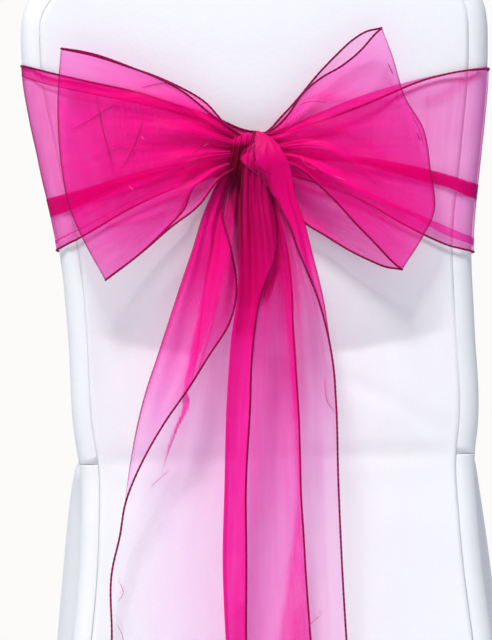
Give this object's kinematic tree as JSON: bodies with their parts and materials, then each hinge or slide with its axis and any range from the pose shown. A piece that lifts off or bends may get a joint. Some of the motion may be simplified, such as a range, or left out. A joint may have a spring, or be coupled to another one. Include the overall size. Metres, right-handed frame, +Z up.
{
  "type": "fitted chair cover with sash",
  "caption": "Floor-length fitted chair cover in white woven polyester, with a sheer magenta organza sash wrapped round the back and tied behind in a large bow with long free tails.",
  "frame": {"origin": "under the cloth at the middle of the top of the back, where the chair carries the cover", "axes": "+Z up, the outside back with the bow faces -Y, the seat lies towards +Y, +X to the right of someone who looks at the bow"},
  "size_m": [0.5032, 0.5546, 0.9322],
  "materials": {
    "cover_polyester": "white woven polyester, matt, fine weave",
    "sash_organza": "sheer fuchsia organza, darker where layers lie over each other, overlocked crimson hem"
  },
  "bodies": {
    "root": {"back_panel": "cover_polyester", "boxing_strip": "cover_polyester", "inside_back": "cover_polyester", "seat_panel": "cover_polyester", "skirt": "cover_polyester", "sash": "sash_organza"}
  },
  "joints": []
}
